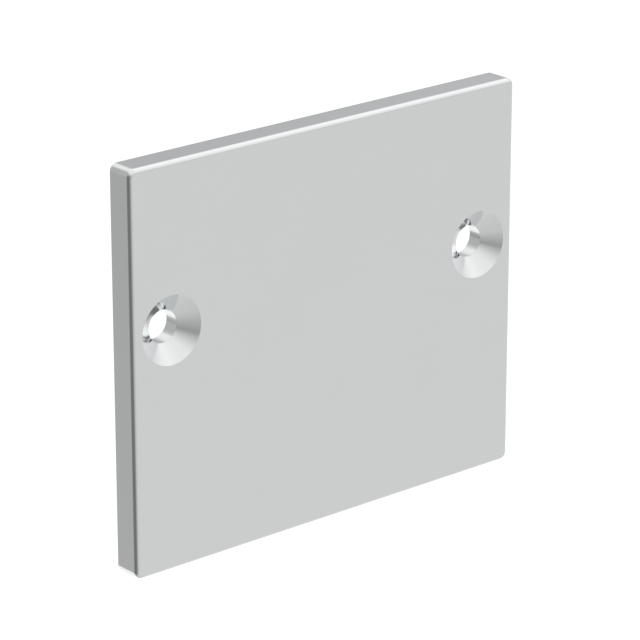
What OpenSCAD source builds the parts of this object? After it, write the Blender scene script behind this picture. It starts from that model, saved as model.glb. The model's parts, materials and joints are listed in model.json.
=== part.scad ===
// End cap for a channel: one flat plate that closes the channel's open end.
// It stands as it is fitted: X across, Z up, and the front face looks along -Y.
// The origin is the middle of the back face, which seats on the end of the channel.

/* [Plate] */
// Width of the cap, from side to side
cap_width = 80; // [50:1:160]
// Height of the cap, from bottom edge to top edge
cap_height = 68; // [50:1:140]
// Thickness of the plate, from back face to front face
cap_thickness = 5; // [3.5:0.1:10]

/* [Rounded edges] */
// Radius of the four corners, seen from the front
corner_radius = 1.3; // [0.9:0.1:12]
// Radius of the rounding that runs all round the front face
front_rounding = 0.8; // [0.2:0.1:0.8]

/* [Screw holes] */
// Distance from each side edge to the axis of the hole beside it
hole_inset = 7.7; // [6.7:0.1:18]
// Height of both hole axes above the bottom edge
hole_height = 40.5; // [8:0.5:43]
// Diameter of the straight bore that the screw passes through
bore_diameter = 5.5; // [3:0.1:7]
// Diameter of the countersink where it meets the front face
sink_diameter = 11.6; // [8:0.1:13]
// Depth of the countersink, from the front face to the straight bore
sink_depth = 2.4; // [1:0.1:3.4]

/* [Hidden] */
$fn = 96;
// Distance between the two hole axes
hole_spacing = cap_width - 2 * hole_inset;
// Height of the hole axes above the origin
hole_rise = hole_height - cap_height / 2;
// Straight run of the top and bottom edges, and of the two sides, between the corners
edge_run = cap_width - 2 * corner_radius;
side_run = cap_height - 2 * corner_radius;
// How far a cutter runs past the face it cuts
overrun = 1;
// How much the countersink widens for each millimetre towards the front, on its radius
sink_slope = (sink_diameter - bore_diameter) / 2 / sink_depth;

// Section through the border, from the centre line of the corners (x = 0) out to the edge.
// The back face is y = 0, and the outer front corner is a true quarter circle.
module border_section() {
    square([corner_radius, cap_thickness - front_rounding]);
    square([corner_radius - front_rounding, cap_thickness]);
    translate([corner_radius - front_rounding, cap_thickness - front_rounding])
        intersection() {
            circle(r = front_rounding);
            square(2 * front_rounding);
        }
}

// One straight length of border, standing on the back plane and centred on y = 0
module straight_border(run) {
    rotate([90, 0, 0])
        linear_extrude(height = run, center = true)
            border_section();
}

// The same section turned through a corner
module corner_border() {
    rotate_extrude(angle = 90)
        border_section();
}

// The plate lying on its back: a flat middle, and the border carried round it in four quarter turns
module plate() {
    translate([-edge_run / 2, -side_run / 2, 0])
        cube([edge_run, side_run, cap_thickness]);
    for (quarter = [0:3]) {
        upright = quarter % 2 == 0;
        run = upright ? side_run : edge_run;
        reach = upright ? edge_run / 2 : side_run / 2;
        rotate([0, 0, 90 * quarter]) {
            translate([reach, 0, 0])
                straight_border(run);
            translate([reach, run / 2, 0])
                corner_border();
        }
    }
}

// Cutter for one countersunk hole, turned as one outline that runs past both faces
module screw_hole() {
    rotate_extrude()
        polygon([
            [0, -overrun],
            [bore_diameter / 2, -overrun],
            [bore_diameter / 2, cap_thickness - sink_depth],
            [sink_diameter / 2 + sink_slope * overrun, cap_thickness + overrun],
            [0, cap_thickness + overrun]
        ]);
}

// The finished cap, stood up so that the plate's front face looks along -Y
module end_cap() {
    color("silver")
        rotate([90, 0, 0])
            difference() {
                plate();
                for (side = [-1, 1])
                    translate([side * hole_spacing / 2, hole_rise, 0])
                        screw_hole();
            }
}

end_cap();
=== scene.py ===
import json
import math
import bpy
import numpy as np
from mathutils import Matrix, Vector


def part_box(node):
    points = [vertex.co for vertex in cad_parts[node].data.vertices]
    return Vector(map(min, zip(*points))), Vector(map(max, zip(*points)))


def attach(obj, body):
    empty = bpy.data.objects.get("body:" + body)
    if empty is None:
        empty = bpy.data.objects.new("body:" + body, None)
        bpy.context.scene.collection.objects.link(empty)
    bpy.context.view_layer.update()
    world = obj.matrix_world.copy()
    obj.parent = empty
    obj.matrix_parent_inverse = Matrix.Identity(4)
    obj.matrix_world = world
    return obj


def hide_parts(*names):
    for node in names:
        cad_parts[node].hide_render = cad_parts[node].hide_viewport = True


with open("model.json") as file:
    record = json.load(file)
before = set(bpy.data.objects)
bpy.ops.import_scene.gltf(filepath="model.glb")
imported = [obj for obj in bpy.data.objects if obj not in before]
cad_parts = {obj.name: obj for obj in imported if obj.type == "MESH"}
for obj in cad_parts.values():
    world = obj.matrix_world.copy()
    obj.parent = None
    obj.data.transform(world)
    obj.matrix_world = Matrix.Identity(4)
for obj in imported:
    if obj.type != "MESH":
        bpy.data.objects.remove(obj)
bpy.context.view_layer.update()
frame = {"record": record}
mounts = {mount["name"]: mount for mount in frame["record"]["mounts"]}
print("frame loaded")


# An object in the scene that shows the given data
def addObject(name, data):
    made = bpy.data.objects.new(name, data)
    bpy.context.scene.collection.objects.link(made)
    return made


# cap body

low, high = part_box("end_cap")
thickness = high[1] - low[1]
rightHole = mounts["right_screw_hole"]  # the left one mirrors it
holeX, holeZ = rightHole["pos_m"][0], rightHole["pos_m"][2]
boreRadius = rightHole["dims"]["r_mm"] / 1000
satinSlot, turnedSlot = 0, 1

cap = {
    "cornerRadius": 0.0013,  # the four corners, seen from the front
    "frontRounding": 0.0008,  # runs all round the front face
    "sinkRadius": 0.0058,  # countersink, at the front face
    "sinkDepth": 0.0024,
    "backBreak": 0.00006,  # sharp edges are only just broken: the back edge,
    "rimBreak": 0.00004,  # the countersink's rim,
    "neckBreak": 0.00005,  # where it meets the bore,
    "exitBreak": 0.00006,  # and where the bore comes out behind
    "roundingSteps": 16,
    "breakSteps": 4,
    "cornerSteps": 12,
    "holeSteps": 128,  # round each hole, a multiple of 8
    "cellHalf": 0.0060,  # half the square of face round each hole
    "faceStep": 0.0012,  # spacing of the face's grid lines
    "weld": 1e-7,  # points that round to the same multiple of this are one
    "weldShift": 0.03,  # share of it added first, so that none lies halfway between two
}


# A section of straight runs with rounded corners. Each arc turns clockwise about a centre that lies
# one radius to the right of both runs, and the outward normal is a quarter turn to their left.
def roundedSection(corners, radii, steps):
    corners = np.array(corners, float)
    runs = np.diff(corners, axis=0)
    along = runs / np.linalg.norm(runs, axis=1, keepdims=True)
    outward = np.stack([-along[:, 1], along[:, 0]], axis=1)
    heading = np.arctan2(outward[:, 1], outward[:, 0])
    points, normals = [corners[:1]], [outward[:1]]
    for k, (radius, count) in enumerate(zip(radii, steps), start=1):
        turn = (heading[k - 1] - heading[k]) % (2 * math.pi)
        centre = corners[k] - along[k - 1] * radius * math.tan(turn / 2) - outward[k - 1] * radius
        angle = heading[k - 1] - np.linspace(0, turn, count + 1)
        arc = np.stack([np.cos(angle), np.sin(angle)], axis=1)
        points.append(centre + radius * arc)
        normals.append(arc)
    return np.concatenate(points + [corners[-1:]]), np.concatenate(normals + [outward[-1:]])


# The section (u, w) carried along a path: a point lies u out from the path, and w in front of the back
# face. Its normal is the section's, turned the same way.
def carried(path, out, section, sectionNormals):
    (u, w), (nu, nw) = section.T, sectionNormals.T
    flat = np.ones(len(path))[:, None]
    points = [path[:, :1] + out[:, :1] * u, flat * -w, path[:, 1:] + out[:, 1:] * u]
    normals = [out[:, :1] * nu, flat * -nw, out[:, 1:] * nu]
    return np.stack(points, axis=2), np.stack(normals, axis=2)


# Four-sided faces between neighbouring points of a grid, closed on itself along its rows if asked
def gridFaces(rows, columns, closed):
    index = np.arange(rows * columns).reshape(rows, columns)
    if closed:
        index = np.vstack([index, index[:1]])
    faces = [index[:-1, :-1], index[:-1, 1:], index[1:, 1:], index[1:, :-1]]
    return np.stack(faces, axis=-1).reshape(-1, 4)


# Even steps from one place to the next, as near to faceStep as a whole number of them comes
def evenSteps(start, end):
    count = max(1, round((end - start) / cap["faceStep"]))
    return np.linspace(start, end, count + 1)


# Grid lines through the face: even steps between the cells of the holes, and tangents of even angles
# across each cell, so that they meet the spokes of the hole inside it
def gridLines(start, centres, end, spread):
    lines, place = [], start
    for centre in centres:
        lines += [evenSteps(place, centre + spread[0])[:-1], centre + spread[:-1]]
        place = centre + spread[-1]
    return np.concatenate(lines + [evenSteps(place, end)])


# Border: its section goes from the corner centres out over the front rounding and back behind. It is
# carried along the four sides, and through a quarter turn at the end of each.
def borderPart(reach, xLines, zLines):
    corner = cap["cornerRadius"]
    section, sectionNormals = roundedSection(
        [(0, thickness), (corner, thickness), (corner, 0), (0, 0)],
        [cap["frontRounding"], cap["backBreak"]],
        [cap["roundingSteps"], cap["breakSteps"]],
    )
    path, out = [], []
    for quarter, lines in enumerate([zLines, xLines, zLines, xLines]):
        start = quarter * math.pi / 2
        angle = start + np.linspace(0, math.pi / 2, cap["cornerSteps"] + 1)[1:-1]
        side = np.array([math.cos(start), math.sin(start)]).round()
        tangent = np.array([-side[1], side[0]])
        ordered = lines if tangent.sum() > 0 else lines[::-1]
        straight = side * reach + np.abs(tangent) * ordered[:, None]
        swung = np.stack([np.cos(angle), np.sin(angle)], axis=1)
        path += [straight, np.repeat(straight[-1:], len(angle), axis=0)]
        out += [np.repeat(side[None], len(straight), axis=0), swung]
    points, normals = carried(np.concatenate(path), np.concatenate(out), section, sectionNormals)
    return points, normals, gridFaces(*points.shape[:2], True), satinSlot


# Flat middles of the front and back: every face of the grid, apart from the square cell of each hole
def middleParts(xLines, zLines):
    gridX, gridZ = np.meshgrid(xLines, zLines)
    faces = gridFaces(*gridX.shape, False)
    middleX, middleZ = gridX.ravel()[faces].mean(axis=1), gridZ.ravel()[faces].mean(axis=1)
    inCell = np.maximum(np.abs(np.abs(middleX) - holeX), np.abs(middleZ - holeZ)) < cap["cellHalf"]
    parts = []
    for depth, facing in ((-thickness, -1), (0, 1)):
        points = np.stack([gridX, np.full(gridX.shape, depth), gridZ], axis=2)
        normals = np.broadcast_to([0.0, facing, 0.0], points.shape)
        parts.append((points, normals, faces[~inCell][:, ::-facing], satinSlot))
    return parts


# Holes, turned: the section goes from the back up the bore, out over the countersink and onto the front.
# Its first and last points move out to the edge of the square cell. The two bands at either end lie in the
# flat faces, so they keep the plate's finish.
def holeParts():
    ring = cap["sinkRadius"] + 2 * cap["rimBreak"]  # flat again, just past the rim
    section, sectionNormals = roundedSection(
        [(ring, 0), (boreRadius, 0), (boreRadius, thickness - cap["sinkDepth"]),
         (cap["sinkRadius"], thickness), (ring, thickness)],
        [cap["exitBreak"], cap["neckBreak"], cap["rimBreak"]],
        [cap["breakSteps"]] * 3,
    )
    section = np.concatenate([section[:1], section, section[-1:]])
    sectionNormals = np.concatenate([sectionNormals[:1], sectionNormals, sectionNormals[-1:]])
    angle = np.arange(cap["holeSteps"]) * 2 * math.pi / cap["holeSteps"]
    out = np.stack([np.cos(angle), np.sin(angle)], axis=1)
    square = cap["cellHalf"] * out / np.abs(out).max(axis=1, keepdims=True)
    faces = gridFaces(len(angle), len(section), True)
    bands, flatBands = len(section) - 1, 2
    band = np.tile(np.arange(bands), len(angle))
    slots = np.where((band >= flatBands) & (band < bands - flatBands), turnedSlot, satinSlot)
    parts = []
    for centre in ([-holeX, holeZ], [holeX, holeZ]):
        path = np.repeat(np.array([centre]), len(angle), axis=0)
        points, normals = carried(path, out, section, sectionNormals)
        points[:, [0, -1], 0] = (path + square)[:, :1]
        points[:, [0, -1], 2] = (path + square)[:, 1:]
        parts.append((points, normals, faces, slots))
    return parts


# The cap's surfaces, each as points, normals, faces and material slot. All of them stand on the same grid
# lines, so they meet point to point.
def capParts():
    reach = np.array([high[0], high[2]]) - cap["cornerRadius"]
    eighth = cap["holeSteps"] // 8
    spread = cap["cellHalf"] * np.tan(np.linspace(-math.pi / 4, math.pi / 4, 2 * eighth + 1))
    xLines = gridLines(-reach[0], [-holeX, holeX], reach[0], spread)
    zLines = gridLines(-reach[1], [holeZ], reach[1], spread)
    return [borderPart(reach, xLines, zLines)] + middleParts(xLines, zLines) + holeParts()


# Points that fall on each other become one, and faces that close to three corners become triangles
def weldedMesh(name, parts):
    offsets = np.cumsum([0] + [points.shape[0] * points.shape[1] for points, *_ in parts])
    points = np.concatenate([points.reshape(-1, 3) for points, *_ in parts])
    normals = np.concatenate([normals.reshape(-1, 3) for _, normals, *_ in parts])
    faces = np.concatenate([faces + offset for (_, _, faces, _), offset in zip(parts, offsets)])
    slots = np.concatenate([np.broadcast_to(slot, len(faces)) for _, _, faces, slot in parts])
    key = np.round((points + cap["weld"] * cap["weldShift"]) / cap["weld"])
    _, first, welded = np.unique(key, axis=0, return_index=True, return_inverse=True)
    faces = welded.reshape(-1)[faces]
    same = faces == np.roll(faces, -1, axis=1)
    whole = ~same.any(axis=1)
    pinched = np.flatnonzero(same.sum(axis=1) == 1)
    keep = np.ones((len(pinched), 4), bool)
    keep[np.arange(len(pinched)), same[pinched].argmax(axis=1)] = False
    triangles = faces[pinched][keep].reshape(-1, 3)
    slots = np.concatenate([slots[whole], slots[pinched]]).astype(np.int32)
    mesh = bpy.data.meshes.new(name)
    mesh.from_pydata(points[first], [], faces[whole].tolist() + triangles.tolist())
    mesh.polygons.foreach_set("material_index", slots)
    mesh.polygons.foreach_set("use_smooth", np.ones(len(mesh.polygons), bool))
    mesh.normals_split_custom_set_from_vertices(normals[first])
    mesh.update()
    return mesh


capBody = addObject("capBody", weldedMesh("capBody", capParts()))
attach(capBody, "root")
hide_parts("end_cap")
print("cap body", len(capBody.data.polygons), "faces")


# nodes

# Each input is set to a value, or linked where another node's output is given
def setInputs(tree, node, inputs):
    for name, value in inputs.items():
        if isinstance(value, bpy.types.NodeSocket):
            tree.links.new(value, node.inputs[name])
        else:
            node.inputs[name].default_value = value


# One node, with its inputs by name or number and its settings by name
def addNode(tree, kind, place, inputs=None, **settings):
    node = tree.nodes.new(kind)
    node.location = place
    for name, value in settings.items():
        setattr(node, name, value)
    setInputs(tree, node, inputs or {})
    return node


# The result of one operation on one or two values
def worked(tree, operation, place, *values):
    node = addNode(tree, "ShaderNodeMath", place, dict(enumerate(values)), operation=operation)
    return node.outputs[0]


# The first value where the mask is 0, the second where it is 1, and their mixture between
def blended(tree, mask, first, second, place, kind="FLOAT"):
    inputs = {"Factor": mask, "A": first, "B": second}
    return addNode(tree, "ShaderNodeMix", place, inputs, data_type=kind).outputs["Result"]


# The value carried from one range onto another, and held at its ends
def ranged(tree, value, old, new, place, fade="LINEAR"):
    inputs = {"Value": value, "From Min": old[0], "From Max": old[1], "To Min": new[0], "To Max": new[1]}
    return addNode(tree, "ShaderNodeMapRange", place, inputs, interpolation_type=fade).outputs["Result"]


# 1 for a ray of any of the kinds, as the largest of their outputs
def anyRay(tree, kinds, place):
    path = addNode(tree, "ShaderNodeLightPath", place)
    seen = path.outputs[kinds[0]]
    for step, kind in enumerate(kinds[1:], start=1):
        seen = worked(tree, "MAXIMUM", (place[0] + 200 * step, place[1]), seen, path.outputs[kind])
    return seen


# A new material, with its tree and its shader
def startMaterial(name):
    material = bpy.data.materials.new(name)
    material.use_nodes = True
    return material, material.node_tree, material.node_tree.nodes["Principled BSDF"]


# finishes

metal = {
    "dark": (0.645, 0.654, 0.658, 1),  # its tone wanders between these two
    "light": (0.661, 0.669, 0.672, 1),
    "mottleSize": 0.012,
    "mottleDetail": 3.0,
    "mottleRange": (0.3, 0.7),  # what most of the mottle lies between
    "satinRoughness": (0.10, 0.135),  # follows the mottle too
    "grainSize": 0.00014,
    "grainDetail": 2.0,
    "grainDepth": 0.0000012,
    "turnedRoughness": (0.04, 0.06),
    "turningPitch": 0.00011,  # from one cutter ring to the next
    "turningDepth": 0.0000003,
    "shownAgain": (0.965, 0.985, 1.0, 1),  # painted reflection: turned metal's colour is lifted towards this bluish white where it is seen in itself
    "shownAgainStep": 0.5,  # share of that painted lift for each reflection
}


# Blasted and etched metal: fine grain as a height, and a soft uneven tone between 0 and 1. Both are noise
# of the position, and its scale is one over the size.
def makeGrainGroup():
    noises = [("Grain Size", "Height", metal["grainDetail"]),
              ("Mottle Size", "Mottle", metal["mottleDetail"])]
    group = bpy.data.node_groups.new("blastedGrain", "ShaderNodeTree")
    group.interface.new_socket("Position", in_out="INPUT", socket_type="NodeSocketVector")
    for size, output, _ in noises:
        group.interface.new_socket(size, in_out="INPUT", socket_type="NodeSocketFloat")
        group.interface.new_socket(output, in_out="OUTPUT", socket_type="NodeSocketFloat")
    source = addNode(group, "NodeGroupInput", (-700, 0))
    result = addNode(group, "NodeGroupOutput", (300, 0))
    for step, (size, output, detail) in enumerate(noises):
        row = -250 * step
        scale = worked(group, "DIVIDE", (-450, row), 1, source.outputs[size])
        inputs = {"Vector": source.outputs["Position"], "Scale": scale, "Detail": detail}
        noise = addNode(group, "ShaderNodeTexNoise", (-200, row), inputs, noise_dimensions="3D")
        setInputs(group, result, {output: noise.outputs["Fac"]})
    return group


grainGroup = makeGrainGroup()


# Bare metal, whose tone and roughness follow the mottle. What the finishes go on from comes back with it.
def startMetal(name, roughness):
    material, tree, shader = startMaterial(name)
    position = addNode(tree, "ShaderNodeTexCoord", (-1200, 0)).outputs["Object"]
    inputs = {"Position": position, "Grain Size": metal["grainSize"], "Mottle Size": metal["mottleSize"]}
    grain = addNode(tree, "ShaderNodeGroup", (-950, 0), inputs, node_tree=grainGroup)
    mottle = grain.outputs["Mottle"]
    tone = blended(tree, mottle, metal["dark"], metal["light"], (-350, 250), "RGBA")
    dullness = ranged(tree, mottle, metal["mottleRange"], roughness, (-350, 0))
    setInputs(tree, shader, {"Metallic": 1, "Base Color": tone, "Roughness": dullness})
    parts = {"shader": shader, "position": position, "height": grain.outputs["Height"], "tone": tone}
    return material, parts


# The normal leans with the slope of the height times the depth
def addBump(tree, shader, height, depth):
    inputs = {"Height": height, "Strength": 1.0, "Distance": depth}
    bump = addNode(tree, "ShaderNodeBump", (-350, -300), inputs)
    setInputs(tree, shader, {"Normal": bump.outputs["Normal"]})


# Plate: the metal with its grain as the height
def satinAluminium():
    material, parts = startMetal("satinAluminium", metal["satinRoughness"])
    addBump(material.node_tree, parts["shader"], parts["height"], metal["grainDepth"])
    return material


# Countersink and bore: rings left by the cutter, a sine of the distance from the hole's own axis, and a
# painted brightening where they reflect themselves
def turnedAluminium():
    material, parts = startMetal("turnedAluminium", metal["turnedRoughness"])
    tree = material.node_tree
    split = addNode(tree, "ShaderNodeSeparateXYZ", (-950, -350), {0: parts["position"]})
    mirrored = worked(tree, "ABSOLUTE", (-780, -350), split.outputs["X"])
    across = worked(tree, "SUBTRACT", (-620, -350), mirrored, holeX)
    upward = worked(tree, "SUBTRACT", (-620, -500), split.outputs["Z"], holeZ)
    joined = addNode(tree, "ShaderNodeCombineXYZ", (-460, -400), {"X": across, "Y": upward})
    radius = addNode(tree, "ShaderNodeVectorMath", (-300, -500), {0: joined.outputs[0]}, operation="LENGTH")
    perMetre = 2 * math.pi / metal["turningPitch"]
    turns = worked(tree, "MULTIPLY", (-140, -500), radius.outputs["Value"], perMetre)
    rings = worked(tree, "SINE", (20, -500), turns)
    addBump(tree, parts["shader"], rings, metal["turningDepth"])
    # painted reflection: where the turned metal shows in itself, its colour is lifted towards a bluish
    # white with each reflection, so the holes stay light
    reflections = addNode(tree, "ShaderNodeLightPath", (-550, 500)).outputs["Glossy Depth"]
    share = worked(tree, "MULTIPLY", (-350, 500), reflections, metal["shownAgainStep"])
    tone = blended(tree, share, parts["tone"], metal["shownAgain"], (-150, 350), "RGBA")
    setInputs(tree, parts["shader"], {"Base Color": tone})
    return material


for finish in (satinAluminium, turnedAluminium):  # in the order of the slots
    capBody.data.materials.append(finish())
print("finishes made")


# studio

studio = {
    "backdrop": 1.0,  # what the camera sees past the cap
    "plainLevel": 0.85,  # what lights the floor
    "runs": {  # azimuth from +X, and the cosines to it where the run starts and is full
        "rightward": (325, (-0.08, 0.715)),
        "farther": (55, (-0.7, 0.7)),
        "frontward": (270, (-0.1, 0.4)),
    },
    "sides": {"level": (0.504, 0.899), "run": "rightward"},  # the studio round the cap, at the horizon
    "patches": {  # azimuth and elevation of the middle, and degrees from it where it starts and is full
        "table": {"level": (0.798, 0.932), "run": "rightward", "middle": (0, -90), "band": (90, 49)},
        "brightTable": {"level": 1.30, "middle": (100, -47), "band": (22, 15)},  # behind the cap
        "card": {"level": 0.238, "middle": (178, -20), "band": (57, 15)},  # dark, and draws the edges
        "wall": {"level": 0.625, "middle": (131, 9), "band": (27, 10)},  # on the left, behind the cap
        "ceiling": {"level": (1.18, 1.47), "run": "farther", "middle": (305, 76), "band": (80.3, 40.4),
                    "fade": "LINEAR"},
        "overhead": {"level": 1.08, "middle": (0, 90), "band": (20, 8)},  # between the ceiling's lights
        "glow": {"level": 1.21, "middle": (86, 42), "band": (24, 7)},  # soft light high behind
    },
    "horizon": 0.30,  # a darker line where the table ends in front
    "horizonBand": (0.15, 0.02),  # height above or below it where it starts and is full
    "horizonShare": 0.20,  # how much of it shows
    "backWall": {"tint": (0.985, 1.0, 1.01, 1), "middle": (55, 8), "band": (45, 18)},  # a little bluer
    "floorDrop": 0.10,  # below the cap's bottom edge
    "floorSize": 8.0,
    "floorColor": (0.95, 0.95, 0.95, 1),
    "floorRoughness": 0.9,
    "floorLift": 0.16,  # light added to what is seen of it
    "lampPlace": (0.35, -0.25, 0.85),
    "lampSize": 0.8,
    "lampPower": 2.3,
}
white = (1, 1, 1, 1)


# The direction of an azimuth from +X and an elevation: cosines and sines of the two, at length 1
def towards(azimuth, elevation):
    a, e = math.radians(azimuth), math.radians(elevation)
    return (math.cos(a) * math.cos(e), math.sin(a) * math.cos(e), math.sin(e))


# 0 where the value is at the band's start or before it, and 1 at its end or past it, either way up
def bandMask(tree, value, band, place, fade="SMOOTHSTEP"):
    start, full = band
    if start < full:
        return ranged(tree, value, (start, full), (0, 1), place, fade)
    return ranged(tree, value, (full, start), (1, 0), place, fade)


# Soft studio as a level for each direction. The sides brighten to the right, and the patches are laid over
# them in turn: the table, its bright part, a dark card and a lighter wall on the left, the ceiling, its
# duller middle and a glow behind. Each fades in over a band of angles from its middle. The line where the
# table ends is laid over them all, and the light from low behind is tinted.
# Camera rays see the plain backdrop, and what lights the floor is one plain level.
def makeWorld():
    world = bpy.data.worlds.new("studio")
    world.use_nodes = True
    tree = world.node_tree
    direction = addNode(tree, "ShaderNodeTexCoord", (-1800, 0)).outputs["Generated"]

    # cosine of the angle from the ray to a direction
    def cosineTo(azimuth, elevation, row):
        inputs = {0: direction, 1: towards(azimuth, elevation)}
        dot = addNode(tree, "ShaderNodeVectorMath", (-1600, row), inputs, operation="DOT_PRODUCT")
        return dot.outputs["Value"]

    # 1 within a patch, with the degrees of its band as cosines
    def maskOf(patch, row):
        cosines = [math.cos(math.radians(angle)) for angle in patch["band"]]
        fade = patch.get("fade", "SMOOTHSTEP")
        return bandMask(tree, cosineTo(*patch["middle"], row), cosines, (-1400, row), fade)

    # one level, or a blend of two along a run
    def levelOf(part, row):
        if "run" not in part:
            return part["level"]
        return blended(tree, runs[part["run"]], *part["level"], (-1200, row))

    runs = {}
    for step, (name, (azimuth, cosines)) in enumerate(studio["runs"].items()):
        row = 600 - 200 * step
        runs[name] = bandMask(tree, cosineTo(azimuth, 0, row), cosines, (-1400, row))
    level = levelOf(studio["sides"], 600)
    for step, patch in enumerate(studio["patches"].values()):
        row = -200 * step
        level = blended(tree, maskOf(patch, row), level, levelOf(patch, row), (-1000 + 100 * step, row))

    height = worked(tree, "ABSOLUTE", (-1400, -1600), cosineTo(0, 90, -1600))
    tableEnd = bandMask(tree, height, studio["horizonBand"], (-1200, -1600))
    inFront = worked(tree, "MULTIPLY", (-1000, -1600), tableEnd, runs["frontward"])
    share = worked(tree, "MULTIPLY", (-800, -1600), inFront, studio["horizonShare"])
    level = blended(tree, share, level, studio["horizon"], (-200, 0))

    mirrored = anyRay(tree, ["Is Glossy Ray", "Is Transmission Ray"], (-600, 600))
    seen = anyRay(tree, ["Is Camera Ray"], (-200, 600))
    level = blended(tree, mirrored, studio["plainLevel"], level, (0, 0))
    level = blended(tree, seen, level, studio["backdrop"], (200, 0))
    bluer = worked(tree, "MULTIPLY", (0, -400), maskOf(studio["backWall"], -1800), mirrored)
    tint = blended(tree, bluer, white, studio["backWall"]["tint"], (200, -400), "RGBA")
    setInputs(tree, tree.nodes["Background"], {"Strength": level, "Color": tint})
    bpy.context.scene.world = world


# Pale floor: it takes the cap's shadow, and what the camera sees of it is lifted to the backdrop's white
def makeFloor():
    half = studio["floorSize"] / 2
    height = low[2] - studio["floorDrop"]
    corners = [(-half, -half, height), (half, -half, height), (half, half, height), (-half, half, height)]
    mesh = bpy.data.meshes.new("floor")
    mesh.from_pydata(corners, [], [(0, 1, 2, 3)])
    floor = addObject("floor", mesh)
    floor.visible_glossy = False
    material, tree, shader = startMaterial("floor")
    seen = anyRay(tree, ["Is Camera Ray", "Is Glossy Ray", "Is Transmission Ray"], (-1000, -200))
    lift = worked(tree, "MULTIPLY", (-400, -200), seen, studio["floorLift"])
    setInputs(tree, shader, {"Base Color": studio["floorColor"], "Roughness": studio["floorRoughness"],
                             "Emission Color": white, "Emission Strength": lift})
    # seen from below, the floor lets the cap show
    clear = addNode(tree, "ShaderNodeBsdfTransparent", (100, -300))
    face = addNode(tree, "ShaderNodeNewGeometry", (-100, 300))
    sides = {0: face.outputs["Backfacing"], 1: shader.outputs[0], 2: clear.outputs[0]}
    oneSided = addNode(tree, "ShaderNodeMixShader", (400, 0), sides)
    setInputs(tree, tree.nodes["Material Output"], {"Surface": oneSided.outputs[0]})
    mesh.materials.append(material)


# A round lamp high in front on the right, turned to look at the origin
def makeLamp():
    data = bpy.data.lights.new("ceilingLamp", "AREA")
    data.shape = "DISK"
    data.size = studio["lampSize"]
    data.energy = studio["lampPower"]
    lamp = addObject("ceilingLamp", data)
    lamp.location = studio["lampPlace"]
    lamp.visible_glossy = False  # in the metal, the ceiling stands for it
    lamp.rotation_euler = (-lamp.location).to_track_quat("-Z", "Y").to_euler()


makeWorld()
makeFloor()
makeLamp()
bpy.context.scene.view_settings.view_transform = "Standard"
print("studio lit")


# camera, solved from the plate's edges and the two countersink rims in the photo

photoView = {
    "place": (-0.34391, -0.40974, 0.19332),
    "turn": -40.178,  # about Z, from looking along +Y
    "tilt": -19.939,  # below the level
    "sensor": 36,  # mm, like the lens
    "lens": 196.33,
}

cameraData = bpy.data.cameras.new("camera")
cameraData.sensor_width = photoView["sensor"]
cameraData.lens = photoView["lens"]
camera = addObject("camera", cameraData)
camera.location = photoView["place"]
camera.rotation_euler = (math.radians(90 + photoView["tilt"]), 0, math.radians(photoView["turn"]))
bpy.context.scene.camera = camera
print("camera set")
